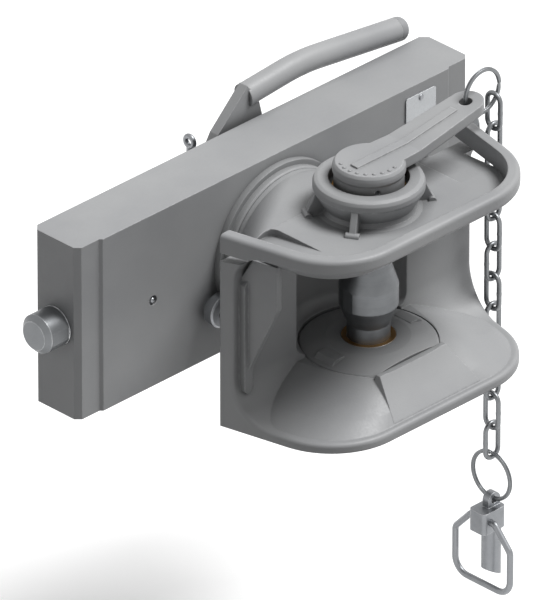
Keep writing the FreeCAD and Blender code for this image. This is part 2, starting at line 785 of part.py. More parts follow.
def make_throat():
    top = FUNNEL_Z - 1.0
    scoop = cyl_z(0, KP_Y, THROAT_R, THROAT_LOW, top)
    upper = [e for e in scoop.Edges if abs(e.CenterOfMass.z - top) < 1e-4 and e.Closed]
    scoop = scoop.makeFillet(15.0, upper)
    lower = [e for e in scoop.Edges if abs(e.BoundBox.ZMax - THROAT_LOW) < 1e-4 and e.Closed]
    return scoop.makeFillet(10.0, lower)


def make_wedge_block():
    z_low = MOUTH_FLOOR - 2.0
    front = WEDGE_BACK - WEDGE_LEDGE
    side_view = prism_x([(WEDGE_BACK, z_low), (WEDGE_BACK, WEDGE_TOP), (front, WEDGE_TOP),
                         (front - WEDGE_RUN, MOUTH_FLOOR + 1.0), (front - WEDGE_RUN, z_low)],
                        -JAW_HALF_W, JAW_HALF_W)
    wide = WEDGE_HALF_W + 6
    narrow = WEDGE_HALF_W - 5
    front_view = prism_y([(-wide, z_low), (wide, z_low), (narrow, WEDGE_TOP), (-narrow, WEDGE_TOP)],
                         JAW_FRONT, WALL_BACK)
    return side_view.common(front_view)


def make_left_web():
    bar = prism_y([(WEB_X, WEB_LOW + WEB_T / 2), (WEB_X + WEB_T / 2, WEB_LOW),
                   (WEB_X + WEB_T, WEB_LOW + WEB_T / 2), (WEB_X + WEB_T, WEB_TOP),
                   (WEB_X, WEB_TOP - WEB_T)], WALL_FRONT - WEB_DEPTH, WALL_FRONT + 1)
    return bar.common(jaw_prism(2.0, BASE_Z, TOP_Z, WALL_BACK))


def make_left_gusset():
    plate = prism_x([(1.0, GUSSET_TOP - 16.0), (1.0, GUSSET_LOW), (0, GUSSET_LOW),
                     (-GUSSET_LEN, GUSSET_KNEE), (-GUSSET_LEN, GUSSET_TOP),
                     (-8.0, GUSSET_TOP)], -GUSSET_T, 0)
    plate.rotate(V(0, 0, 0), AZ, GUSSET_TURN)
    plate.translate(V(WEB_X + WEB_T, WALL_FRONT, 0))
    return plate


def make_shaft():
    washer_back = HUB_END + 2 * RUN + WASHER_T
    thread_start = washer_back + 1.0
    end = nut_start() + NUT_T + 2.0
    shaft = cyl_y(0, 0, SHAFT_R, RING_FRONT - GAP - 1.0, thread_start)
    thread = cyl_y(0, 0, THREAD_R, thread_start, end)
    tip = [e for e in thread.Edges if abs(e.CenterOfMass.y - end) < 1e-4]
    thread = thread.makeChamfer(2.0, tip)
    shaft = shaft.fuse(thread)
    return shaft.cut(Part.makeCylinder(SPLIT_R + RUN, 4 * SHAFT_R, V(0, split_y(), -2 * SHAFT_R), AZ))


def nut_start():
    return HUB_END + 2 * RUN + WASHER_T + 2 * DISC_T + 2 * DISC_CONE


def split_y():
    return nut_start() + NUT_T - NUT_SLOT_DEPTH / 2


def make_clevis_body():
    body = make_jaws()
    body = body.fuse(make_neck())
    body = body.fuse(make_upper_funnel())
    body = body.cut(jaw_prism(RIM_W, TOP_FLOOR_Z, TOP_Z + 1, WALL_BACK + EPS))
    body = body.fuse(make_lower_dish())
    body = body.fuse(make_wedge_block())
    body = body.fuse(make_left_web())
    body = body.fuse(make_left_gusset())
    body = body.cut(make_lower_core())
    body = body.fuse(make_shaft())
    body = body.cut(make_throat())
    for side in (-1, 1):
        body = body.cut(make_side_pocket(side))
    body = body.fuse(make_boss())
    for rib in make_boss_ribs():
        body = body.fuse(rib)
    body = body.cut(cyl_z(0, KP_Y, UPPER_BUSH_R, FUNNEL_Z - 2, RECESS_Z + EPS))
    body = body.cut(wear_seat(GAP))
    body = body.cut(cyl_z(0, KP_Y, LOWER_BUSH_R, BASE_Z - 2, DISH_Z + 2))
    return body.removeSplitter()


def wear_seat(air):
    seat = cyl_z(0, KP_Y, WEAR_R + air, DISH_Z - WEAR_T, WEAR_HUB_Z + 2)
    return seat.cut(box(-WEAR_R, WEAR_R, KP_Y - 2 * WEAR_R, KP_Y - WEAR_CUT - air,
                        DISH_Z - WEAR_T - 1, WEAR_HUB_Z + 3))


def make_wear_ring():
    low = DISH_Z - WEAR_T
    bore = LOWER_BUSH_R + GAP
    profile = [(bore, low), (WEAR_R, low), (WEAR_R, DISH_Z - 1.0), (WEAR_R - 1.4, DISH_Z + 0.4),
               (WEAR_HUB_R, WEAR_HUB_Z), (bore, WEAR_HUB_Z + 0.5)]
    ring = turned_z(profile, KP_Y)
    for angle in (0, 180):
        pad = prism_y([(WEAR_PAD_IN, low + 1), (WEAR_PAD_IN, WEAR_PAD_Z), (WEAR_PAD_OUT - 4, WEAR_PAD_Z),
                       (WEAR_PAD_OUT, DISH_Z), (WEAR_PAD_OUT, low + 1)], -WEAR_PAD_HALF, WEAR_PAD_HALF)
        pad.rotate(V(0, 0, 0), AZ, -angle)
        pad.translate(V(0, KP_Y, 0))
        ring = ring.fuse(pad)
    ring = ring.cut(box(-WEAR_R, WEAR_R, KP_Y - 2 * WEAR_R, KP_Y - WEAR_CUT, low - 1, WEAR_HUB_Z + 2))
    return ring.removeSplitter()


def make_upper_bush():
    return turned_z([(KP_GUIDE_R + 2 * RUN, FUNNEL_Z + 1), (UPPER_BUSH_R, FUNNEL_Z + 1),
                     (UPPER_BUSH_R, RECESS_Z), (KP_GUIDE_R + 2 * RUN, RECESS_Z)], KP_Y)


def make_lower_bush():
    return turned_z([(KP_NECK_R + 2 * RUN, BASE_Z), (LOWER_BUSH_R, BASE_Z),
                     (LOWER_BUSH_R, LOWER_BUSH_TOP), (KP_NECK_R + 2 * RUN, LOWER_BUSH_TOP)], KP_Y)


def make_thrust_washer():
    y0 = HUB_END + 2 * RUN
    return turned_y([(SHAFT_R, y0), (WASHER_R, y0), (WASHER_R, y0 + WASHER_T), (SHAFT_R, y0 + WASHER_T)])


def make_disc_springs():
    y0 = HUB_END + 2 * RUN + WASHER_T
    y1 = y0 + DISC_T + DISC_CONE
    inner = THREAD_R + 1.3
    outer = WASHER_R - 1.0
    first = turned_y([(inner, y0 + DISC_CONE), (outer, y0), (outer, y0 + DISC_T), (inner, y1)])
    second = turned_y([(inner, y1), (outer, y1 + DISC_CONE), (outer, y1 + DISC_CONE + DISC_T),
                       (inner, y1 + DISC_T)])
    return Part.makeCompound([first, second])


def make_castle_nut():
    y0 = nut_start()
    y1 = y0 + NUT_T
    nut = hex_prism_y(0, 0, NUT_AF, y0, y1)
    crown = turned_y([(0, y0), (NUT_AF / math.sqrt(3), y0), (NUT_AF / math.sqrt(3), y1 - NUT_SLOT_DEPTH - 2),
                      (NUT_AF / 2 - 2, y1 - NUT_SLOT_DEPTH), (NUT_AF / 2 - 2, y1), (0, y1)])
    nut = nut.common(crown)
    nut = nut.cut(cyl_y(0, 0, THREAD_R, y0 - EPS, y1 + EPS))
    half = NUT_SLOT_W / 2
    for k in range(3):
        slot = box(-half, half, y1 - NUT_SLOT_DEPTH, y1 + EPS, -NUT_AF, NUT_AF)
        slot.rotate(V(0, 0, 0), AY, 60 * k)
        nut = nut.cut(slot)
    return nut


def make_split_pin():
    y = split_y()
    leg = Part.makeCylinder(SPLIT_R, 2 * SPLIT_REACH, V(0, y, -SPLIT_REACH), AZ)
    eye = Part.makeTorus(SPLIT_R * 1.6, SPLIT_R * 0.8, V(0, y, SPLIT_REACH + SPLIT_R * 1.6), AX)
    return joined([leg, eye])


def make_kingpin():
    pin_top = RECESS_Z + GAP
    profile = [(0, KP_END),
               (KP_NECK_R - 2, KP_END),
               (KP_NECK_R, KP_END + 2),
               (KP_NECK_R, KP_CONE_LOW),
               (KP_CROWN_R, KP_CROWN_LOW),
               (KP_CROWN_R, KP_CROWN_TOP),
               (KP_NECK_R, KP_CONE_TOP),
               (KP_NECK_R, KP_SHOULDER - 6),
               (KP_GUIDE_R, KP_SHOULDER),
               (KP_GUIDE_R, pin_top - 1),
               (KP_GUIDE_R - 1, pin_top),
               (SPIGOT_R, pin_top),
               (SPIGOT_R, ROLL_PIN_Z - ROLL_PIN_R - GAP),
               (-ROLL_PIN_X - ROLL_PIN_R - GAP, ROLL_PIN_Z - ROLL_PIN_R - GAP),
               (-ROLL_PIN_X - ROLL_PIN_R - GAP, ROLL_PIN_Z + ROLL_PIN_R + GAP),
               (SPIGOT_R, ROLL_PIN_Z + ROLL_PIN_R + GAP),
               (SPIGOT_R, SPIGOT_TOP - 1),
               (SPIGOT_R - 1, SPIGOT_TOP),
               (0, SPIGOT_TOP)]
    pin = turned_z(profile, KP_Y)
    flat = math.sqrt(KP_CROWN_R ** 2 - (KP_FLAT_W / 2) ** 2)
    pin = pin.cut(box(-KP_CROWN_R - 1, -flat, KP_Y - KP_CROWN_R, KP_Y + KP_CROWN_R,
                      KP_CONE_LOW, KP_CONE_TOP))
    return pin.cut(cyl_x(KP_Y, CROSS_Z, CROSS_R, -KP_NECK_R - 1, KP_NECK_R + 1))


def handle_slope(x):
    return max(0, x - HANDLE_BEND_X) * math.tan(math.radians(HANDLE_RISE))


def handle_strip(low, high, x0, x1):
    return [(x0, low), (HANDLE_BEND_X, low), (x1, low + handle_slope(x1)),
            (x1, high + handle_slope(x1)), (HANDLE_BEND_X, high), (x0, high)]


def make_pin_handle():
    hub_low = RECESS_Z + GAP
    bar_low = HANDLE_TOP - HANDLE_T
    tip = HANDLE_EYE_X + HANDLE_END_R
    hub = turned_z([(0, hub_low), (HANDLE_HUB_R - 1, hub_low), (HANDLE_HUB_R, hub_low + 1),
                    (HANDLE_HUB_R, bar_low - 1), (HANDLE_R, bar_low + 1), (HANDLE_R, HANDLE_LIP_Z),
                    (HANDLE_R - 0.4, HANDLE_LIP_Z + 2.4), (HANDLE_FACE_R, HANDLE_TOP), (0, HANDLE_TOP)], 0)
    side_view = prism_y(handle_strip(bar_low, HANDLE_TOP, 0, tip + 1), -HANDLE_R, HANDLE_R)
    plan = prism_z([(0, -HANDLE_ROOT_HALF), (HANDLE_EYE_X, -HANDLE_END_R),
                    (HANDLE_EYE_X, HANDLE_END_R), (0, HANDLE_ROOT_HALF)], bar_low - 1, HANDLE_TOP + HANDLE_CUT_OVER)
    plan = plan.fuse(cyl_z(HANDLE_EYE_X, 0, HANDLE_END_R, bar_low - 1, HANDLE_TOP + HANDLE_CUT_OVER))
    bar = side_view.common(plan)
    rib = prism_y(handle_strip(HANDLE_TOP - 1, HANDLE_TOP + HANDLE_RIB_H, -15, HANDLE_EYE_X - 12),
                  -HANDLE_RIB_W / 2, HANDLE_RIB_W / 2)
    handle = hub.fuse(bar).fuse(rib)
    handle = handle.cut(cyl_z(HANDLE_EYE_X, 0, HANDLE_EYE_R, bar_low - 1, HANDLE_TOP + HANDLE_CUT_OVER))
    handle = handle.cut(cyl_z(0, 0, SPIGOT_R + RUN, hub_low - 1, SPIGOT_TOP + GAP))
    handle = handle.cut(cyl_y(ROLL_PIN_X, ROLL_PIN_Z, ROLL_PIN_R, -HANDLE_R, HANDLE_R))
    handle.translate(V(0, KP_Y, 0))
    return handle.removeSplitter()


def make_handle_roll_pin():
    reach = math.sqrt(HANDLE_HUB_R ** 2 - ROLL_PIN_X ** 2) - 1.0
    return cyl_y(ROLL_PIN_X, ROLL_PIN_Z, ROLL_PIN_R, KP_Y - reach, KP_Y + reach)


def make_upper_ring():
    return Part.makeTorus(UPPER_RING_R, RING_WIRE_R, V(UPPER_RING_X, KP_Y, UPPER_RING_Z), AY)


def link_top_z():
    inside = UPPER_RING_R - RING_WIRE_R - LINK_WIRE_R - 0.2
    return UPPER_RING_Z - math.sqrt(inside ** 2 - (CHAIN_X - UPPER_RING_X) ** 2)


def link_half_len():
    return LINK_INNER_LEN / 2 + LINK_WIRE_R


def link_z(number):
    pitch = LINK_INNER_LEN - LINK_PLAY
    return link_top_z() - link_half_len() - pitch * (number - 1)


def make_chain_link(number):
    bend_r = LINK_HALF_W - LINK_WIRE_R
    straight = link_half_len() - bend_r
    z = link_z(number)
    parts = []
    for sign in (-1, 1):
        parts.append(cyl_z(sign * bend_r, 0, LINK_WIRE_R, -straight, straight))
        bend = Part.makeTorus(bend_r, LINK_WIRE_R, V(0, 0, 0), AY)
        keep = box(-LINK_HALF_W - 1, LINK_HALF_W + 1, -LINK_WIRE_R - 1, LINK_WIRE_R + 1, 0, LINK_HALF_W + 1)
        bend = bend.common(keep)
        if sign < 0:
            bend = bend.mirror(V(0, 0, 0), AZ)
        bend.translate(V(0, 0, sign * straight))
        parts.append(bend)
    link = joined(parts)
    if number % 2 == 1:
        link.rotate(V(0, 0, 0), AZ, 90)
    link.translate(V(CHAIN_X, KP_Y, z))
    return link


def lower_ring_z():
    bottom = link_z(LINK_COUNT) - link_half_len()
    return bottom + LINK_WIRE_R + RING_WIRE_R + GAP - LOWER_RING_R


def make_lower_ring():
    return Part.makeTorus(LOWER_RING_R, RING_WIRE_R, V(CHAIN_X, KP_Y, lower_ring_z()), AX)


def lug_z():
    return lower_ring_z() - LOWER_RING_R + RING_WIRE_R + GAP - LUG_HOLE_R


def make_linch_pin():
    lug = lug_z()
    head_top = lug - LUG_HOLE_R - 2.2
    head_low = head_top - LINCH_HEAD_H
    half = LINCH_HEAD_T / 2
    head = box(CHAIN_X - LINCH_HEAD_REACH, CHAIN_X + LINCH_R, KP_Y - half, KP_Y + half, head_low, head_top)
    upright = [e for e in head.Edges if abs(e.Vertexes[0].Z - e.Vertexes[1].Z) > LINCH_HEAD_H / 2]
    head = head.makeFillet(3.5, upright)
    eye_r = LUG_HOLE_R + 3.2
    eye = cyl_y(CHAIN_X, lug, eye_r, KP_Y - LUG_T / 2, KP_Y + LUG_T / 2)
    stem = box(CHAIN_X - eye_r, CHAIN_X + eye_r, KP_Y - LUG_T / 2, KP_Y + LUG_T / 2, head_top - 1, lug)
    end = lug - LINCH_LEN
    shaft = cyl_z(CHAIN_X, KP_Y, LINCH_R, end, head_low + 1)
    bevel = prism_y([(CHAIN_X - LINCH_R - 1, end - 1), (CHAIN_X + LINCH_R + 1, end - 1),
                     (CHAIN_X - LINCH_R - 1, end + 7)], KP_Y - LINCH_R - 1, KP_Y + LINCH_R + 1)
    pin = joined([head, eye, stem, shaft]).cut(bevel)
    pin = pin.cut(cyl_y(CHAIN_X, lug, LUG_HOLE_R, KP_Y - LUG_T, KP_Y + LUG_T))
    pivot = lug - BOW_PIVOT_DROP
    return pin.cut(cyl_y(CHAIN_X - BOW_OFFSET, pivot, BOW_WIRE_R + RUN, KP_Y - half - 1, KP_Y + half + 1))


def make_linch_bow():
    x = CHAIN_X - BOW_OFFSET
    top = lug_z() - BOW_PIVOT_DROP
    neck = LINCH_HEAD_T / 2 + BOW_WIRE_R + 1.5
    low = top - BOW_LEN
    points = []
    for sign in (-1, 1):
        side = [V(x, KP_Y + sign * neck, top),
                V(x, KP_Y + sign * BOW_HALF_W, top - BOW_SHOULDER_DROP),
                V(x, KP_Y + sign * BOW_HALF_W, low)]
        points.append(side)
    loop = points[0] + list(reversed(points[1]))
    return rounded_loop(loop, [3.2, 6.0, BOW_CORNER_R, BOW_CORNER_R, 6.0, 3.2], BOW_WIRE_R)


def rounded_loop(points, radii, wire_r):
    count = len(points)
    bends = []
    for k in range(count):
        here = points[k]
        before = (points[k - 1] - here).normalize()
        after = (points[(k + 1) % count] - here).normalize()
        half = math.acos(before.dot(after)) / 2
        reach = radii[k] / math.tan(half)
        middle = (before + after).normalize()
        mid = here + middle * (radii[k] / math.sin(half) - radii[k])
        bends.append((here + before * reach, mid, here + after * reach))
    edges = []
    for k in range(count):
        edges.append(Part.Arc(bends[k][0], bends[k][1], bends[k][2]).toShape())
        edges.append(Part.makeLine(bends[k][2], bends[(k + 1) % count][0]))
    first = bends[0][2]
    direction = bends[1][0] - first
    edges = edges[1:] + edges[:1]
    return wire_loop(edges, first, direction, wire_r)


def export(name, shape):
    shape.exportStep("parts/" + name + ".step")


def main():
    os.makedirs("parts", exist_ok=True)
    export("carrier_plate", make_carrier_plate())
    export("bearing_ring", make_bearing_ring())
    export("clamp_bolts", make_clamp_bolts())
    export("shaft_bush", make_shaft_bush())
    export("type_plate", make_type_plate())
    export("type_plate_rivets", make_type_plate_rivets())
    export("grease_nipples", make_grease_nipples())
    export("lever_circlip", make_lever_circlip())
    for side, word in ((-1, "left"), (1, "right")):
        export(word + "_locking_pin", make_locking_pin(side))
        export(word + "_pull_bar", make_pull_bar(side))
        export(word + "_driver_bolt", make_driver_bolt(side))
        export(word + "_pin_spring", make_pin_spring(side))
    crank = make_lever_crank()
    export("lever_crank", crank)
    export("lever_grip", make_lever_grip(crank))
    export("lever_end_cap", make_lever_end_cap())
    export("clevis_body", make_clevis_body())
    export("boss_collar", make_boss_collar())
    export("upper_bush", make_upper_bush())
    export("lower_bush", make_lower_bush())
    export("wear_ring", make_wear_ring())
    export("thrust_washer", make_thrust_washer())
    export("disc_springs", make_disc_springs())
    export("castle_nut", make_castle_nut())
    export("split_pin", make_split_pin())
    export("kingpin", make_kingpin())
    export("pin_handle", make_pin_handle())
    export("handle_roll_pin", make_handle_roll_pin())
    export("upper_ring", make_upper_ring())
    for number in range(1, LINK_COUNT + 1):
        export("chain_link_%02d" % number, make_chain_link(number))
    export("lower_ring", make_lower_ring())
    export("linch_pin", make_linch_pin())
    export("linch_bow", make_linch_bow())


main()
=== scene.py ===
import math

import bpy
import numpy as np
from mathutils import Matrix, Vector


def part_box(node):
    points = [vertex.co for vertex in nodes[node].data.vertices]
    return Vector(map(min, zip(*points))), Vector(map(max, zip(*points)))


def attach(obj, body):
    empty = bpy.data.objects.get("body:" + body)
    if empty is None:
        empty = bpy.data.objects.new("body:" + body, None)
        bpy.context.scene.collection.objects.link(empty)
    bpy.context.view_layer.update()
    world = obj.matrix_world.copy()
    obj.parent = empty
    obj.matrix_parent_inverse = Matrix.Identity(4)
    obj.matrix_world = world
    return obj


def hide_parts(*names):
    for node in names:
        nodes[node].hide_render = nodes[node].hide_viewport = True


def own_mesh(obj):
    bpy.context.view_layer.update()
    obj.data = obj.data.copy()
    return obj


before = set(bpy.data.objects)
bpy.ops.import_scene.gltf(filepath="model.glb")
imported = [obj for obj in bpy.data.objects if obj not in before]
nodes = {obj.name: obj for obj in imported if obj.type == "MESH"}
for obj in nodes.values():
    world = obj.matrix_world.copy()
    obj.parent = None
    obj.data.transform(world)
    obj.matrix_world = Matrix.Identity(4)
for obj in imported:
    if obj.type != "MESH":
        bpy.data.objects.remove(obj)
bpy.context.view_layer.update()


# Slide plate: flame-cut steel, milled on its guide strips, and sprayed with satin grey machinery enamel.
# The enamel lies in a faint orange peel and has worn thin along the edges, which are lightened partly as wear
# and partly as a painted highlight; its corners are darkened as painted shade.
MM = 0.001
EDGE_STARTS, EDGE_FULL = 0.995, 0.86    # cosines of the turn where the edge wear and painted highlight begin (6 degrees) and are full (31)
SHADER_SAMPLES = 6
DRIFT_MM = 70.0         # tone drifts over this width
SPECK_MM = 4.0          # size of the chips along a worn edge
SHADE_REACH_MM = 14.0    # how far the painted shade reaches out of a corner
# colour towards which corners are darkened as painted shade
CORNER_SHADE_COLOUR = "#2A2A2A"
SATIN_GLOSS = (0.42, 0.56)
ENAMEL_IOR = 1.5


def linear(hex_colour):
    """Turns an sRGB hex colour into the linear values that shaders take."""
    srgb = np.array([int(hex_colour[i:i + 2], 16) for i in (1, 3, 5)]) / 255.0
    low = srgb / 12.92
    high = ((srgb + 0.055) / 1.055) ** 2.4
    return (*np.where(srgb <= 0.04045, low, high), 1.0)


def add(tree, kind, settings=None, inputs=None):
    """Adds one node, sets its properties, and gives its sockets their values or links."""
    node = tree.nodes.new(kind)
    for key, value in (settings or {}).items():
        setattr(node, key, value)
    for key, value in (inputs or {}).items():
        if isinstance(value, bpy.types.NodeSocket):
            tree.links.new(value, node.inputs[key])
        else:
            node.inputs[key].default_value = value
    return node


def begin_material(name):
    """A new material's tree with its output, and the object coordinates that its patterns read."""
    material = bpy.data.materials.new(name)
    material.use_nodes = True
    tree = material.node_tree
    tree.nodes.clear()
    coords = add(tree, "ShaderNodeTexCoord").outputs["Object"]
    output = add(tree, "ShaderNodeOutputMaterial")
    return material, tree, coords, output


# Edges lightened by this mask are partly wear and partly a painted highlight.
def worn_and_highlit_edges(tree, edge_mm, breakup):
    """Rounded normals from a bevel, and a mask that is 1 where they turn away from the flat normal."""
    bevel = add(tree, "ShaderNodeBevel", {"samples": SHADER_SAMPLES}, {"Radius": edge_mm * MM})
    flat = add(tree, "ShaderNodeNewGeometry").outputs["Normal"]
    turn = add(tree, "ShaderNodeVectorMath", {"operation": "DOT_PRODUCT"},
               {0: bevel.outputs["Normal"], 1: flat})
    mask = add(tree, "ShaderNodeMapRange", None,
               {"Value": turn.outputs["Value"], "From Min": EDGE_STARTS, "From Max": EDGE_FULL,
                "To Min": 0.0, "To Max": 1.0})
    ragged = add(tree, "ShaderNodeMath", {"operation": "MULTIPLY", "use_clamp": True},
                 {0: mask.outputs["Result"], 1: breakup})
    return bevel.outputs["Normal"], ragged.outputs["Value"]


def sprayed_enamel(name, colour, faded, worn_and_highlit, peel_mm, peel_height_mm, edge_mm, corner_shade_strength):
    """Enamel on steel: a slow drift of tone, a peel of peel_mm grain, edges lightened as wear and painted
    highlight, and corners darkened as painted shade.
    """
    material, tree, coords, output = begin_material(name)
    drift = add(tree, "ShaderNodeTexNoise", None, {"Vector": coords, "Scale": 1000 / DRIFT_MM, "Detail": 3.0})
    grain = add(tree, "ShaderNodeTexNoise", None, {"Vector": coords, "Scale": 1000 / peel_mm, "Detail": 4.0})
    speck = add(tree, "ShaderNodeTexNoise", None, {"Vector": coords, "Scale": 1000 / SPECK_MM, "Detail": 5.0})
    breakup = add(tree, "ShaderNodeMapRange", None,
                  {"Value": speck.outputs["Fac"], "From Min": 0.42, "From Max": 0.6,
                   "To Min": 0.25, "To Max": 1.0})
    rounded, edge = worn_and_highlit_edges(tree, edge_mm, breakup.outputs["Result"])
    tone = add(tree, "ShaderNodeMapRange", None,
               {"Value": drift.outputs["Fac"], "From Min": 0.35, "From Max": 0.7,
                "To Min": 0.0, "To Max": 1.0})
    body = add(tree, "ShaderNodeMix", {"data_type": "RGBA"},
               {0: tone.outputs["Result"], 6: linear(colour), 7: linear(faded)})
    # Edges are lightened: partly wear, partly a painted highlight.
    edged = add(tree, "ShaderNodeMix", {"data_type": "RGBA"},
                {0: edge, 6: body.outputs[2], 7: linear(worn_and_highlit)})
    # Painted shade: where ambient occlusion finds a corner, the colour is darkened towards near black.
    corner_occlusion = add(tree, "ShaderNodeAmbientOcclusion", {"samples": SHADER_SAMPLES},
                  {"Distance": SHADE_REACH_MM * MM})
    painted_shade_mask = add(tree, "ShaderNodeMapRange", None,
                 {"Value": corner_occlusion.outputs["AO"], "From Min": 0.95, "From Max": 0.35,
                  "To Min": 0.0, "To Max": corner_shade_strength})
    corner_shaded = add(tree, "ShaderNodeMix", {"data_type": "RGBA"},
                {0: painted_shade_mask.outputs["Result"], 6: edged.outputs[2], 7: linear(CORNER_SHADE_COLOUR)})
    gloss = add(tree, "ShaderNodeMapRange", None,
                {"Value": grain.outputs["Fac"], "From Min": 0.3, "From Max": 0.7,
                 "To Min": SATIN_GLOSS[0], "To Max": SATIN_GLOSS[1]})
    peel = add(tree, "ShaderNodeBump", None,
               {"Strength": 0.5, "Distance": peel_height_mm * MM, "Height": grain.outputs["Fac"],
                "Normal": rounded})
    shader = add(tree, "ShaderNodeBsdfPrincipled", None,
                 {"Base Color": corner_shaded.outputs[2], "Roughness": gloss.outputs["Result"],
                  "Normal": peel.outputs["Normal"], "IOR": ENAMEL_IOR, "Metallic": 0.0})
    tree.links.new(shader.outputs["BSDF"], output.inputs["Surface"])
    return material


def finish_node(name, material):
    """Gives a carried-over CAD node its finish."""
    nodes[name].data.materials.clear()
    nodes[name].data.materials.append(material)


plate_enamel = sprayed_enamel("grey_enamel_on_flame_cut_plate", colour="#A6A7A8", faded="#9B9C9E",
                              worn_and_highlit="#C2C3C4", peel_mm=2.2, peel_height_mm=0.05, edge_mm=0.9, corner_shade_strength=0.55)
finish_node("carrier_plate", plate_enamel)


# Clevis: steel casting, shot blasted and sprayed in the same enamel, so the mould's sand grain shows through.
# The bearing ring behind its neck is turned from plate and painted with it.
cast_enamel = sprayed_enamel("grey_enamel_on_sand_casting", colour="#A4A5A6", faded="#98999B",
                             worn_and_highlit="#C4C5C6", peel_mm=1.6, peel_height_mm=0.16, edge_mm=1.6, corner_shade_strength=0.6)
finish_node("clevis_body", cast_enamel)
finish_node("boss_collar", cast_enamel)
finish_node("bearing_ring", plate_enamel)


# Kingpin and locking pins, and the washer, disc springs and circlip on the shafts: hardened alloy steel,
# turned and thinly greased. The lathe leaves rings round the axis, which catch the light as fine lines.
FEED_PITCH_MM = 0.9
FEED_RUN_MM = 1000 / 12     # a feed mark runs on round the axis for about 83 mm before it fades
GREASE_MM = 12.0            # size of the patches in the film of grease
GROOVE_DEPTH = 0.04 * MM
# Edges lighten to this colour: partly rubbed bare, partly a painted highlight.
RUBBED_AND_HIGHLIT_STEEL = "#D4D5D6"


def turned_steel(name, colour, dark, pitch_mm, axis, roughness, edge_mm=0.8):
    """Bare steel cut on a lathe: feed marks are a noise stretched round the axis, pitch_mm apart along it."""
    material, tree, coords, output = begin_material(name)
    scale = [1000 / FEED_RUN_MM] * 3
    scale["xyz".index(axis)] = 1000 / pitch_mm
    lined = add(tree, "ShaderNodeMapping", None, {"Vector": coords, "Scale": scale})
    marks = add(tree, "ShaderNodeTexNoise", None,
                {"Vector": lined.outputs["Vector"], "Scale": 1.0, "Detail": 3.0})
    film = add(tree, "ShaderNodeTexNoise", None, {"Vector": coords, "Scale": 1000 / GREASE_MM, "Detail": 4.0})
    breakup = add(tree, "ShaderNodeMapRange", None,
                  {"Value": film.outputs["Fac"], "From Min": 0.4, "From Max": 0.6,
                   "To Min": 0.4, "To Max": 1.0})
    rounded, edge = worn_and_highlit_edges(tree, edge_mm, breakup.outputs["Result"])
    base = add(tree, "ShaderNodeMix", {"data_type": "RGBA"},
               {0: film.outputs["Fac"], 6: linear(dark), 7: linear(colour)})
    bright = add(tree, "ShaderNodeMix", {"data_type": "RGBA"},
                 {0: edge, 6: base.outputs[2], 7: linear(RUBBED_AND_HIGHLIT_STEEL)})
    gloss = add(tree, "ShaderNodeMapRange", None,
                {"Value": marks.outputs["Fac"], "From Min": 0.3, "From Max": 0.7,
                 "To Min": roughness - 0.06, "To Max": roughness + 0.08})
    grooves = add(tree, "ShaderNodeBump", None,
                  {"Strength": 0.35, "Distance": GROOVE_DEPTH, "Height": marks.outputs["Fac"],
                   "Normal": rounded})
    shader = add(tree, "ShaderNodeBsdfPrincipled", None,
                 {"Base Color": bright.outputs[2], "Metallic": 1.0,
                  "Roughness": gloss.outputs["Result"], "Normal": grooves.outputs["Normal"]})
    tree.links.new(shader.outputs["BSDF"], output.inputs["Surface"])
    return material


upright_steel = turned_steel("turned_alloy_steel_upright", "#7C7E80", "#66686A", FEED_PITCH_MM, "z", 0.42)
level_steel = turned_steel("turned_alloy_steel_level", "#808284", "#6C6E70", FEED_PITCH_MM, "x", 0.44)
shaft_steel = turned_steel("turned_alloy_steel_shaftwise", "#9A9C9E", "#828486", FEED_PITCH_MM, "y", 0.38)
finish_node("kingpin", upright_steel)
for name in ("left_locking_pin", "right_locking_pin"):
    finish_node(name, level_steel)
for name in ("thrust_washer", "disc_springs", "lever_circlip"):
    finish_node(name, shaft_steel)


# Wear ring: a hardened ring with raised pads, seated on the lower jaw round the kingpin. It was sprayed with
# the casting, and the eye that turns on it has rubbed the enamel pale along its edges; the pale edges are
# partly that wear and partly a painted highlight.
ring_enamel = sprayed_enamel("worn_highlit_enamel_on_wear_ring", colour="#A2A3A4", faded="#8F9092",
                             worn_and_highlit="#CFD0D1", peel_mm=1.6, peel_height_mm=0.05, edge_mm=1.0, corner_shade_strength=0.5)
finish_node("wear_ring", ring_enamel)


# Pin springs: hard-drawn spring wire, coiled cold and set in the plate's bores behind the locking pins.
# Each is five turns. The real spring is pressed together as its pin is drawn in; this one keeps its length and
# rides with the plate.
SPRING_WIRE = 1.5 * MM
SPRING_TURNS = 5
STEPS_PER_TURN = 40
SPRING_WIRE_SIDES = 14


def smooth_piece(name, points, faces):
    """A new smooth-shaded object at the origin, with its place in its mesh."""
    mesh = bpy.data.meshes.new(name)
    mesh.from_pydata(points.reshape(-1, 3).tolist(), [], faces)
    mesh.polygons.foreach_set("use_smooth", np.ones(len(faces), bool))
    mesh.update()
    piece = bpy.data.objects.new(name, mesh)
    bpy.context.scene.collection.objects.link(piece)
    return piece


def capped_tube_faces(rows, columns, flipped=False):
    """Quads that join each ring of points to the next, and a cap at both ends, all facing outwards.

    Flipped turns them over, for a path whose rings run the other way round."""
    u, v = np.meshgrid(np.arange(rows - 1), np.arange(columns), indexing="ij")
    after_v = (v + 1) % columns
    quads = np.stack([u * columns + v, (u + 1) * columns + v, (u + 1) * columns + after_v,
                      u * columns + after_v], axis=-1).reshape(-1, 4)
    first_cap = list(range(columns))
    last_cap = [(rows - 1) * columns + k for k in range(columns)][::-1]
    if flipped:
        return quads[:, [0, 3, 2, 1]].tolist() + [first_cap[::-1], last_cap[::-1]]
    return quads.tolist() + [first_cap, last_cap]


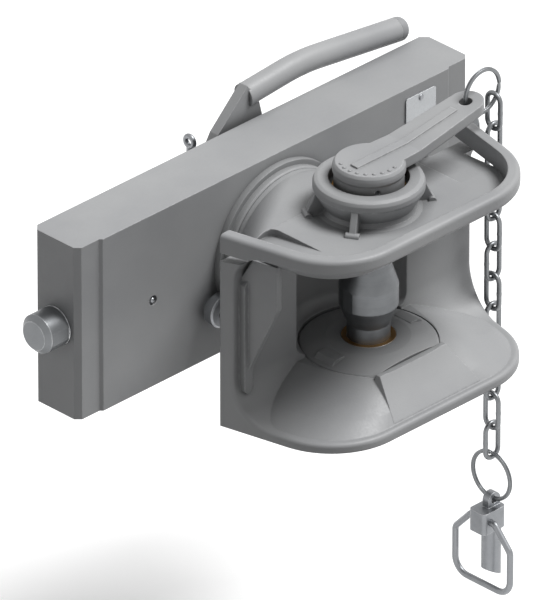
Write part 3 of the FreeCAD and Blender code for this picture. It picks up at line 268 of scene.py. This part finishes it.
def coil_spring(name, node, body):
    """A round wire carried along a helix about the X axis: the angle grows evenly with x."""
    low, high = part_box(node)
    coil_radius = (high[1] - low[1]) / 2 - SPRING_WIRE
    t = np.linspace(0, 1, SPRING_TURNS * STEPS_PER_TURN + 1)
    turn = 2 * math.pi * SPRING_TURNS * t
    x = low[0] + SPRING_WIRE + (high[0] - low[0] - 2 * SPRING_WIRE) * t
    b = np.linspace(0, 2 * math.pi, SPRING_WIRE_SIDES, endpoint=False)
    reach = coil_radius + SPRING_WIRE * np.cos(b)[None, :]
    points = np.stack([x[:, None] + SPRING_WIRE * np.sin(b)[None, :], reach * np.cos(turn)[:, None],
                       reach * np.sin(turn)[:, None]], axis=-1)
    spring = smooth_piece(name, points, capped_tube_faces(*points.shape[:2]))
    spring.data.materials.append(level_steel)
    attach(spring, body)
    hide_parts(node)
    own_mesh(spring)


coil_spring("left_coil_spring", "left_pin_spring", "carrier")
coil_spring("right_coil_spring", "right_pin_spring", "carrier")


# Bearing bushes: centrifugally cast bronze, bored and faced, and pressed into the casting's jaws and the plate.
# Only their rims show, as thin brown rings that the grease at the running faces has dulled.
BORING_PITCH_MM = 0.7
bush_bronze = turned_steel("bored_bearing_bronze", "#B08A58", "#8A6A42", BORING_PITCH_MM, "z", 0.42, 0.5)
for name in ("upper_bush", "lower_bush", "shaft_bush"):
    finish_node(name, bush_bronze)


# Bolts, nut, nipples, pull bars and small pins: mild steel with bright zinc plate.
# The plate is slightly cloudy, and its edges are a little brighter, partly from rubbing and partly as a painted
# highlight.
CLOUD_MM = 9.0
CRYSTAL_MM = 1.2        # zinc's own grain is finer; this is as fine as shows in the render
# Edges lighten to this colour: partly rubbed, partly a painted highlight.
RUBBED_AND_HIGHLIT_ZINC = "#E6E7E9"


def zinc_plated(name, colour, cloud, roughness, edge_mm):
    """Plated metal: cloudy patches of colour, over crystals that vary the gloss."""
    material, tree, coords, output = begin_material(name)
    patches = add(tree, "ShaderNodeTexNoise", None, {"Vector": coords, "Scale": 1000 / CLOUD_MM, "Detail": 3.0})
    crystals = add(tree, "ShaderNodeTexVoronoi", {"feature": "F1"},
                   {"Vector": coords, "Scale": 1000 / CRYSTAL_MM})
    rounded, edge = worn_and_highlit_edges(tree, edge_mm, patches.outputs["Fac"])
    base = add(tree, "ShaderNodeMix", {"data_type": "RGBA"},
               {0: patches.outputs["Fac"], 6: linear(cloud), 7: linear(colour)})
    bright = add(tree, "ShaderNodeMix", {"data_type": "RGBA"},
                 {0: edge, 6: base.outputs[2], 7: linear(RUBBED_AND_HIGHLIT_ZINC)})
    gloss = add(tree, "ShaderNodeMapRange", None,
                {"Value": crystals.outputs["Distance"], "From Min": 0.0, "From Max": 0.8,
                 "To Min": roughness - 0.05, "To Max": roughness + 0.1})
    shader = add(tree, "ShaderNodeBsdfPrincipled", None,
                 {"Base Color": bright.outputs[2], "Metallic": 1.0, "Roughness": gloss.outputs["Result"],
                  "Normal": rounded})
    tree.links.new(shader.outputs["BSDF"], output.inputs["Surface"])
    return material


fastener_zinc = zinc_plated("bright_zinc_on_mild_steel", "#97999C", "#808285", 0.36, 0.6)
for name in ("clamp_bolts", "castle_nut", "split_pin", "grease_nipples", "left_pull_bar", "right_pull_bar",
             "left_driver_bolt", "right_driver_bolt", "handle_roll_pin", "type_plate_rivets", "linch_pin",
             "linch_bow"):
    finish_node(name, fastener_zinc)


# Type plate: thin aluminium sheet, anodised in its own colour, and riveted bare to the plate's front.
# The oxide gives it an even, slightly cloudy pale grey, with a duller shine than the zinc.
sheet_aluminium = zinc_plated("natural_anodised_aluminium", "#B4B6B8", "#A6A8AA", 0.5, 0.4)
finish_node("type_plate", sheet_aluminium)


# Pin handle: drop-forged steel, held on the kingpin's head. A rib stiffens its bar, and the chain's ring goes
# through the eye at its end. The die leaves it smoother than the casting, so its enamel has a finer peel.
forged_enamel = sprayed_enamel("grey_enamel_on_drop_forging", colour="#A8A9AA", faded="#9C9D9F",
                               worn_and_highlit="#C6C7C8", peel_mm=1.4, peel_height_mm=0.06, edge_mm=1.4, corner_shade_strength=0.5)
finish_node("pin_handle", forged_enamel)


# Raised marks round the disc's left rim: plain forged dots, which show the hand where the closed side is.
# They belong to the forging, so they carry the same enamel.
MARK_RING_R = 20.6 * MM
MARK_R = 1.7 * MM
MARK_HEIGHT = 0.8 * MM
MARK_COUNT = 9
MARK_FIRST, MARK_LAST = 150, 285    # degrees round the disc, from its right
DISC_TOP = 100.5 * MM
DOME_SIDES = 16
DOME_RINGS = 5
DOME_SKIRT = 0.15 * MM


def domes(name, centres, radius, height):
    """Low round domes: height falls off as a cosine of the distance from each centre.

    The outermost ring of points dips under the disc by the skirt."""
    turn, reach = np.meshgrid(np.linspace(0, 2 * math.pi, DOME_SIDES, endpoint=False),
                              np.linspace(0, 1, DOME_RINGS + 1)[1:], indexing="ij")
    side = radius * reach
    outermost = reach > 0.99
    rise = height * np.cos(reach * math.pi / 2) - DOME_SKIRT * outermost
    ring = np.stack([side * np.cos(turn), side * np.sin(turn), rise], axis=-1)
    crown = np.array([[0.0, 0.0, height]])
    dome = np.concatenate([crown, ring.reshape(-1, 3)])
    u, v = np.meshgrid(np.arange(DOME_SIDES), np.arange(DOME_RINGS - 1), indexing="ij")
    here = 1 + u * DOME_RINGS + v
    after = 1 + (u + 1) % DOME_SIDES * DOME_RINGS + v
    quads = np.stack([here, here + 1, after + 1, after], axis=-1).reshape(-1, 4)
    u = np.arange(DOME_SIDES)
    fan = np.stack([np.zeros(DOME_SIDES, int), 1 + u * DOME_RINGS, 1 + (u + 1) % DOME_SIDES * DOME_RINGS],
                   axis=-1)
    base = ((u + 1) * DOME_RINGS)[::-1]
    points, faces = [], []
    for index, centre in enumerate(centres):
        shift = index * len(dome)
        points.append(dome + centre)
        faces += (quads + shift).tolist() + (fan + shift).tolist() + [(base + shift).tolist()]
    return smooth_piece(name, np.concatenate(points), faces)


handle_low, handle_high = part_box("pin_handle")
pin_low, pin_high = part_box("kingpin")
disc_x = (pin_low[0] + pin_high[0]) / 2
disc_y = (handle_low[1] + handle_high[1]) / 2
angles = np.radians(np.linspace(MARK_FIRST, MARK_LAST, MARK_COUNT))
mark_centres = np.stack([disc_x + MARK_RING_R * np.cos(angles), disc_y + MARK_RING_R * np.sin(angles),
                         np.full(MARK_COUNT, DISC_TOP)], axis=-1)
rim_marks = domes("handle_rim_marks", mark_centres, MARK_R, MARK_HEIGHT)
rim_marks.data.materials.append(forged_enamel)
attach(rim_marks, "handle")


# Release lever: a flame-cut crank with a welded tube grip, on a hub behind the plate and enamelled with it.
# A moulded vinyl cap is pushed into the grip's open end. The overspray on it is matt and a shade darker.
finish_node("lever_crank", plate_enamel)
finish_node("lever_grip", forged_enamel)
cap_vinyl = sprayed_enamel("moulded_cap_with_enamel_overspray", colour="#9A9B9D", faded="#8F9092",
                           worn_and_highlit="#A9AAAB", peel_mm=1.1, peel_height_mm=0.03, edge_mm=1.0, corner_shade_strength=0.4)
finish_node("lever_end_cap", cap_vinyl)


# Chain: links bent from 3.7 mm wire and butt welded, zinc plated, each hanging in the next at right angles.
# A link is a round section carried round a slot-shaped loop, with a slight weld swelling on one side.
LINK_COUNT = 12
LINK_WIRE = 1.85 * MM       # the wire's radius
LINK_BEND = 6.3 * MM        # the end's radius, to the middle of the wire
LINK_STRAIGHT = 7.9 * MM    # half the straight between the ends
WELD_SWELL = 0.18 * MM
WELD_LENGTH = 1.2 * MM
WIRE_TRIM = 0.2 * WELD_SWELL
LINK_STEPS = 72
LINK_SIDES = 16


def closed_tube(name, points):
    """A mesh from a grid of rings, points[u, v], that closes both ways. Faces join each ring to the next."""
    rows, columns = points.shape[:2]
    u, v = np.meshgrid(np.arange(rows), np.arange(columns), indexing="ij")
    after_u = (u + 1) % rows
    after_v = (v + 1) % columns
    quads = np.stack([u * columns + v, after_u * columns + v, after_u * columns + after_v,
                      u * columns + after_v], axis=-1).reshape(-1, 4)
    return smooth_piece(name, points, quads.tolist())


def link_loop(count):
    """Points, outward directions and swelling round a slot: two half circles joined by straights.

    Points are evenly spaced by arc length. The swelling is a bell curve on the middle of one straight."""
    half_round = math.pi * LINK_BEND
    run = 2 * LINK_STRAIGHT
    total = 2 * (half_round + run)
    s = np.linspace(0, total, count, endpoint=False)
    second = s >= total / 2
    local = np.where(second, s - total / 2, s)
    turn = np.clip(local / LINK_BEND, 0, math.pi)
    along = np.clip(local - half_round, 0, run)
    across = LINK_BEND * np.cos(turn)
    height = LINK_STRAIGHT + LINK_BEND * np.sin(turn) - along
    flip = np.where(second, -1.0, 1.0)
    out = np.stack([np.cos(turn) * flip, np.sin(turn) * flip], axis=-1)
    from_weld = local - half_round - run / 2
    on_welded_run = ~second & (np.abs(from_weld) < run / 2)
    swell = np.where(on_welded_run, WELD_SWELL * np.exp(-(from_weld / WELD_LENGTH) ** 2), 0.0)
    return np.stack([across * flip, height * flip], axis=-1), out, swell


chain_zinc = zinc_plated("bright_zinc_on_chain_wire", "#8A8C8E", "#737577", 0.38, 0.4)
loop, out, swell = link_loop(LINK_STEPS)
angle = np.linspace(0, 2 * math.pi, LINK_SIDES, endpoint=False)
reach = (LINK_WIRE - WIRE_TRIM + swell)[:, None]
flat = loop[:, None, :] + out[:, None, :] * (reach * np.cos(angle))[:, :, None]
side = reach * np.sin(angle)
for number in range(1, LINK_COUNT + 1):
    node = "chain_link_%02d" % number
    low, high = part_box(node)
    centre = (np.array(low) + np.array(high)) / 2
    if number % 2:
        points = np.stack([side, flat[:, :, 0], flat[:, :, 1]], axis=-1)
    else:
        points = np.stack([flat[:, :, 0], -side, flat[:, :, 1]], axis=-1)
    link = closed_tube("welded_link_%02d" % number, points + centre)
    link.data.materials.append(chain_zinc)
    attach(link, node)
    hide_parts(node)


# Split rings: spring wire wound twice round on itself, so it can be threaded through the eye, and zinc plated.
# Both turns lie side by side, and step over at the gap.
HANDLE_RING_R = 16.8 * MM
LINCH_RING_R = 18.4 * MM
TURN_RADIAL = 1.45 * MM     # half the section's width, measured outwards
TURN_SIDE = 0.72 * MM       # half its thickness, and half the step from one turn to the other
CROSSING = 0.7              # radians over which the path steps across
END_TAPER = 0.04            # radians over which the wire's ends narrow to a tip
END_TIP = 0.02              # share of the section that is left at the tip
RING_STEPS = 96
RING_SIDES = 12


def split_ring(name, node, body, radius, flat_axis):
    """Two turns of an oval section round a circle; the path steps sideways by one wire at the crossing."""
    low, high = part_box(node)
    centre = (np.array(low) + np.array(high)) / 2
    a = np.linspace(0, 4 * math.pi, 2 * RING_STEPS + 1)
    step = np.clip((a - 2 * math.pi + CROSSING / 2) / CROSSING, 0, 1)
    side = (step * step * (3 - 2 * step) * 2 - 1) * TURN_SIDE
    b = np.linspace(0, 2 * math.pi, RING_SIDES, endpoint=False)
    taper = np.clip(np.minimum(a, 4 * math.pi - a) / END_TAPER, END_TIP, 1)[:, None]
    r = radius + TURN_RADIAL * np.cos(b)[None, :] * taper
    offset = side[:, None] + TURN_SIDE * np.sin(b)[None, :] * taper
    first = r * np.cos(a)[:, None]
    second = r * np.sin(a)[:, None]
    if flat_axis == "y":
        points = np.stack([first, offset, second], axis=-1)
    else:
        points = np.stack([offset, second, first], axis=-1)
    ring = smooth_piece(name, points + centre, capped_tube_faces(*points.shape[:2], flipped=True))
    ring.data.materials.append(chain_zinc)
    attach(ring, body)
    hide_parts(node)


split_ring("handle_split_ring", "upper_ring", "upper_ring", HANDLE_RING_R, "y")
split_ring("linch_split_ring", "lower_ring", "lower_ring", LINCH_RING_R, "x")


# Floor and light: a pale studio sweep with one broad lamp high on the right and an even, dim surround.
# The floor is a plane below the hanging linch pin, clear from beneath so that the underside can be looked at.
FLOOR_Z = -0.33
FLOOR_HALF = 9.0
PAPER_GLOW = 0.36
SURROUND_LIGHT = 0.24
LAMP_STRENGTH = 3.1
LAMP_SPREAD = math.radians(26)
TO_LAMP = np.array([0.36, -0.30, 0.88])


def backdrop_rays(tree):
    """1 for rays that come from the camera, off a gloss or through glass, which all show the backdrop pale."""
    path = add(tree, "ShaderNodeLightPath")
    seen = add(tree, "ShaderNodeMath", {"operation": "MAXIMUM"},
               {0: path.outputs["Is Camera Ray"], 1: path.outputs["Is Glossy Ray"]})
    through = add(tree, "ShaderNodeMath", {"operation": "MAXIMUM"},
                  {0: seen.outputs["Value"], 1: path.outputs["Is Transmission Ray"]})
    return through.outputs["Value"]


corners = [(x * FLOOR_HALF, y * FLOOR_HALF, FLOOR_Z) for x, y in ((-1, -1), (1, -1), (1, 1), (-1, 1))]
floor_mesh = bpy.data.meshes.new("studio_floor")
floor_mesh.from_pydata(corners, [], [(0, 1, 2, 3)])
floor = bpy.data.objects.new("studio_floor", floor_mesh)
bpy.context.scene.collection.objects.link(floor)
pale, tree, coords, output = begin_material("pale_studio_paper")
paper = add(tree, "ShaderNodeBsdfDiffuse", None, {"Color": linear("#F4F4F4")})
shaded_paper = add(tree, "ShaderNodeBsdfDiffuse", None, {"Color": linear("#707070")})
glow = add(tree, "ShaderNodeEmission", None, {"Color": linear("#FFFFFF"), "Strength": PAPER_GLOW})
lit = add(tree, "ShaderNodeAddShader", None, {0: paper.outputs["BSDF"], 1: glow.outputs["Emission"]})
direct = add(tree, "ShaderNodeMixShader", None,
             {0: backdrop_rays(tree), 1: shaded_paper.outputs["BSDF"], 2: lit.outputs["Shader"]})
clear = add(tree, "ShaderNodeBsdfTransparent")
under = add(tree, "ShaderNodeNewGeometry")
both = add(tree, "ShaderNodeMixShader", None,
           {0: under.outputs["Backfacing"], 1: direct.outputs["Shader"], 2: clear.outputs["BSDF"]})
tree.links.new(both.outputs["Shader"], output.inputs["Surface"])
floor.data.materials.append(pale)

world = bpy.data.worlds.new("studio_surround")
bpy.context.scene.world = world
world.use_nodes = True
tree = world.node_tree
tree.nodes.clear()
strength = add(tree, "ShaderNodeMapRange", None,
               {"Value": backdrop_rays(tree), "To Min": SURROUND_LIGHT, "To Max": 1.0})
surround = add(tree, "ShaderNodeBackground", None,
               {"Color": linear("#FFFFFF"), "Strength": strength.outputs["Result"]})
end = add(tree, "ShaderNodeOutputWorld")
tree.links.new(surround.outputs["Background"], end.inputs["Surface"])

key = bpy.data.lights.new("key_lamp", "SUN")
key.energy = LAMP_STRENGTH
key.angle = LAMP_SPREAD
key_lamp = bpy.data.objects.new("key_lamp", key)
bpy.context.scene.collection.objects.link(key_lamp)
polar = math.acos(TO_LAMP[2] / np.linalg.norm(TO_LAMP))
key_lamp.rotation_euler = (polar, 0, math.atan2(TO_LAMP[1], TO_LAMP[0]) + math.pi / 2)


# Camera: a long lens, so far off that the view is almost a parallel one, as the photograph's is.
# It looks from the left front and from above.
LENS = 1200.0
SENSOR = 36.0
VIEW_HEIGHT = 0.42426
ABOVE = math.radians(30)
TO_THE_LEFT = math.radians(45)
AIM = np.array([0.0073, -0.0073, -0.0594])
camera_data = bpy.data.cameras.new("photo_camera")
camera_data.lens = LENS
camera_data.sensor_width = SENSOR
distance = VIEW_HEIGHT * LENS / SENSOR
back = np.array([-math.cos(ABOVE) * math.sin(TO_THE_LEFT), -math.cos(ABOVE) * math.cos(TO_THE_LEFT),
                 math.sin(ABOVE)])
camera_data.clip_start = 1.0
camera_data.clip_end = 60.0
camera = bpy.data.objects.new("photo_camera", camera_data)
bpy.context.scene.collection.objects.link(camera)
camera.location = AIM + back * distance
camera.rotation_euler = (math.pi / 2 - ABOVE, 0, -TO_THE_LEFT)
bpy.context.scene.camera = camera
bpy.context.scene.view_settings.view_transform = "Standard"
